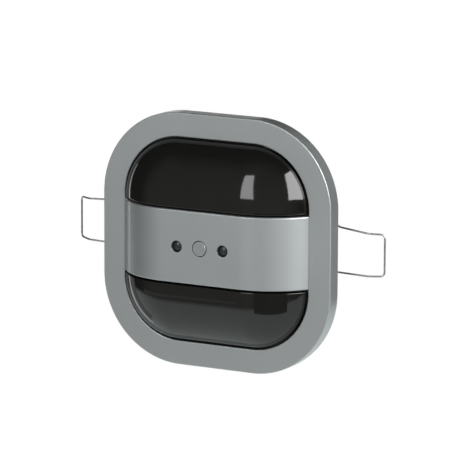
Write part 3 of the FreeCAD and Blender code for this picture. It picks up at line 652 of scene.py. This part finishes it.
sensorNames = [f"pyro_sensor_{row}_{side}" for row in ("upper", "lower") for side in ("left", "right")]
for material, hidden in (
    (lensFilm, ["fresnel_lens_upper", "fresnel_lens_lower"]),
    (laminate, ["sensor_board", "power_board"]),
    (blackPart, ["tact_switch", "transformer", "board_link"]),
    (clearPart, ["status_led", "light_sensor"]),
    (chassisPlastic, ["sensor_carrier"]),
    (zinc, ["carrier_screws"]),
    (relayCase, ["relay"]),
    (canSleeve, ["filter_capacitor"]),
    (canSteel, sensorNames),
):
    for node in hidden:
        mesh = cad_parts[node].data
        mesh.materials.clear()
        mesh.materials.append(material)
print("inner pieces")


# Studio

studio = {
    "azimuth": 28.592,  # of the camera, from the front towards the right
    "elevation": 11.341,
    "roll": 0.22,
    "distance": 1.732,
    "lens": 311.1,
    "sensor": 36,  # width in the camera's own millimetres, as its lens
    "aimPixel": (215.45, 243.15),  # where the middle of the frame's face lies in the photo
    "photoSize": 470,
    "floorDrop": 0.35,
    "floorReach": ((-6, -1), (6, 8)),  # left front and right back corner
    # lit oval of the floor that gloss shows: colour, middle, half sizes, start and end of its fading
    "floorGlow": ((0.84, 0.9, 0.9), (0.25, 0.25), (1.5, 0.87), (0.92, 1.07)),
    # brightness by depth, from straight in front of the object, -1, to straight behind it, 1
    "fill": ((-1, 0.35), (-0.7, 0.18), (-0.35, 0.03), (0.3, 0.04), (0.7, 0.12), (1, 0.9)),
    "gloss": ((-1, 0.25), (-0.6, 0.21), (-0.3, 0.06), (0.93, 0.01), (1, 0.1)),
}

# Each card: azimuth and elevation of the lower left, lower right, upper left and upper right corner,
# distance in metres, brightness
cards = {
    "softboxLeft": (((-21.4, 7.4), (-0.5, 9.4), (-25.1, 40.8), (-7.4, 44.7)), 1.6, 5.6),
    "softboxRight": (((55.3, 9.5), (96.4, 8.2), (57, 47), (112.5, 49.7)), 1.6, 9.3),
    "stripLeft": (((-107, -44), (-103.5, -44), (-109, 14), (-104, 14)), 0.5, 1.8),
    "glowLeft": (((-103, -44), (-86, -44), (-103, -9), (-90, -9)), 0.5, 0.4),
    "backLeft": (((205, -25), (240, -25), (205, 10), (240, 10)), 1.6, 1.2),
    "streak": (((-68.5, -22), (-27.5, -26.2), (-66.5, -19.2), (-27, -23)), 0.6, 0.35),
    "flag": (((-0.3, -39.7), (57.5, -37.4), (2.6, -8), (54, -8)), 0.6, 0.08),
}


def direction(azimuth, elevation):
    a, e = math.radians(azimuth), math.radians(elevation)
    return Vector((math.sin(a) * math.cos(e), -math.cos(a) * math.cos(e), math.sin(e)))


def placeCamera():
    target = Vector((0, faceY, 0))
    back = direction(studio["azimuth"], studio["elevation"])
    turned, roll = math.radians(studio["azimuth"]), math.radians(studio["roll"])
    right = Vector((math.cos(turned), math.sin(turned), 0))
    up = back.cross(right)
    sideways = right * math.cos(roll) + up * math.sin(roll)
    upright = up * math.cos(roll) - right * math.sin(roll)
    focal = studio["lens"] / studio["sensor"] * studio["photoSize"]
    x, y = (p - studio["photoSize"] / 2 for p in studio["aimPixel"])
    # The target lies off the picture's middle, so the camera looks a little past it.
    look = (-back * focal - sideways * x + upright * y).normalized()
    camera = bpy.data.objects.new("camera", bpy.data.cameras.new("camera"))
    bpy.context.scene.collection.objects.link(camera)
    camera.location = target + back * studio["distance"]
    sideways = look.cross(upright).normalized()
    upright = sideways.cross(look)
    turn = [[sideways[i], upright[i], -look[i]] for i in range(3)]
    camera.rotation_euler = Matrix(turn).to_euler()
    camera.data.lens = studio["lens"]
    camera.data.sensor_width = studio["sensor"]
    camera.data.clip_end = 100
    bpy.context.scene.camera = camera


# Each lamp: azimuth and elevation of its middle, width and height in metres, brightness.
# Gloss doesn't show them.
lamps = {
    "keyLamp": ((34, 0), (0.7, 0.7), 16.1),
    "backLamp": ((180, 15), (1.6, 1.2), 3.0),
}


def addLamps(distance=1.6):
    for name, (way, (width, height), radiance) in lamps.items():
        lamp = bpy.data.lights.new(name, "AREA")
        lamp.shape = "RECTANGLE"
        lamp.size, lamp.size_y = width, height
        lamp.energy = radiance * math.pi * width * height
        box = bpy.data.objects.new(name, lamp)
        bpy.context.scene.collection.objects.link(box)
        box.location = direction(*way) * distance
        box.rotation_euler = direction(*way).to_track_quat("Z", "Y").to_euler()
        box.visible_glossy = False


def mixShaders(tree, factor, first, second):
    blend = tree.nodes.new("ShaderNodeMixShader")
    for socket, source in zip(blend.inputs, (factor, first, second)):
        tree.links.new(source, socket)
    return blend.outputs[0]


def makeWorld():
    world = bpy.data.worlds.new("studio")
    bpy.context.scene.world = world
    world.use_nodes = True
    tree = world.node_tree
    nodes, links = tree.nodes, tree.links
    nodes.clear()
    place = nodes.new("ShaderNodeTexCoord")
    split = nodes.new("ShaderNodeSeparateXYZ")
    links.new(place.outputs["Generated"], split.inputs[0])

    def background(levels):
        span = nodes.new("ShaderNodeMapRange")
        span.inputs["From Min"].default_value = -1
        ramp = nodes.new("ShaderNodeValToRGB")
        for depth, _ in levels[1:-1]:
            ramp.color_ramp.elements.new((depth + 1) / 2)
        for element, (depth, level) in zip(ramp.color_ramp.elements, levels):
            element.position = (depth + 1) / 2
            element.color = (level, level, level, 1)
        sky = nodes.new("ShaderNodeBackground")
        links.new(split.outputs["Y"], span.inputs["Value"])
        links.new(span.outputs["Result"], ramp.inputs["Fac"])
        links.new(ramp.outputs["Color"], sky.inputs["Color"])
        return sky.outputs[0]

    fill = background(studio["fill"])  # what lights the object
    seen = background(studio["gloss"])  # what its gloss shows: a dim room
    white = nodes.new("ShaderNodeBackground")
    white.inputs["Color"].default_value = (1, 1, 1, 1)
    path = nodes.new("ShaderNodeLightPath")
    glossy = mixShaders(tree, path.outputs["Is Glossy Ray"], fill, seen)
    through = nodes.new("ShaderNodeMath")
    through.operation = "MAXIMUM"
    links.new(path.outputs["Is Camera Ray"], through.inputs[0])
    links.new(path.outputs["Is Transmission Ray"], through.inputs[1])
    shown = mixShaders(tree, through.outputs[0], glossy, white.outputs[0])
    out = nodes.new("ShaderNodeOutputWorld")
    links.new(shown, out.inputs["Surface"])


def addCards():
    # Softboxes, bright strips and a dark flag, which only gloss and satin paint show.
    for name, (corners, distance, radiance) in cards.items():
        card = addPlane(name, (0, 0, 0), 1, 1)
        for corner, way in zip(card.data.vertices, corners):
            corner.co = direction(*way) * distance
        material = newMaterial(name, (0.02, 0.02, 0.02), 0.9)
        varyColour(material, addNoise(material, 20), (0.015, 0.015, 0.015), (0.025, 0.025, 0.025))
        shader = material.node_tree.nodes["Principled BSDF"]
        shader.inputs["Emission Color"].default_value = (1, 1, 1, 1)
        shader.inputs["Emission Strength"].default_value = radiance
        card.data.materials.append(material)
        card.visible_camera = card.visible_diffuse = card.visible_shadow = card.visible_transmission = False


def makeFloor():
    (left, front), (right, back) = studio["floorReach"]
    middle = ((left + right) / 2, (front + back) / 2, -coverHalf - studio["floorDrop"])
    floor = addPlane("floor", middle, right - left, back - front)
    material = bpy.data.materials.new("paleFloor")
    material.use_nodes = True
    tree = material.node_tree
    nodes, links = tree.nodes, tree.links
    shader = nodes["Principled BSDF"]
    shader.inputs["Base Color"].default_value = (0.86, 0.86, 0.86, 1)
    shader.inputs["Roughness"].default_value = 0.9
    varyColour(material, addNoise(material, 30, 4), (0.85, 0.85, 0.85), (0.87, 0.87, 0.87))
    path = nodes.new("ShaderNodeLightPath")
    face = nodes.new("ShaderNodeNewGeometry")
    colour, glowMiddle, glowHalf, (full, end) = studio["floorGlow"]
    glow = nodes.new("ShaderNodeEmission")
    glow.inputs["Color"].default_value = (*colour, 1)
    place = nodes.new("ShaderNodeTexCoord")
    oval = nodes.new("ShaderNodeMapping")
    oval.vector_type = "TEXTURE"
    oval.inputs["Location"].default_value = (*glowMiddle, middle[2])
    oval.inputs["Scale"].default_value = (*glowHalf, 1)
    reach = nodes.new("ShaderNodeVectorMath")
    reach.operation = "LENGTH"
    links.new(place.outputs["Object"], oval.inputs["Vector"])
    links.new(oval.outputs["Vector"], reach.inputs[0])
    fade = nodes.new("ShaderNodeMapRange")
    fade.inputs["From Min"].default_value = full
    fade.inputs["From Max"].default_value = end
    links.new(reach.outputs["Value"], fade.inputs["Value"])
    white = nodes.new("ShaderNodeEmission")
    clear = nodes.new("ShaderNodeBsdfTransparent")
    lit = mixShaders(tree, fade.outputs["Result"], glow.outputs[0], clear.outputs[0])
    shown = mixShaders(tree, path.outputs["Is Glossy Ray"], shader.outputs[0], lit)
    shown = mixShaders(tree, path.outputs["Is Camera Ray"], shown, white.outputs[0])
    shown = mixShaders(tree, face.outputs["Backfacing"], shown, clear.outputs[0])
    links.new(shown, nodes["Material Output"].inputs["Surface"])
    floor.data.materials.append(material)
    floor.visible_diffuse = floor.visible_shadow = False


placeCamera()
makeWorld()
makeFloor()
addLamps()
addCards()
bpy.context.scene.view_settings.view_transform = "Standard"
print("studio")
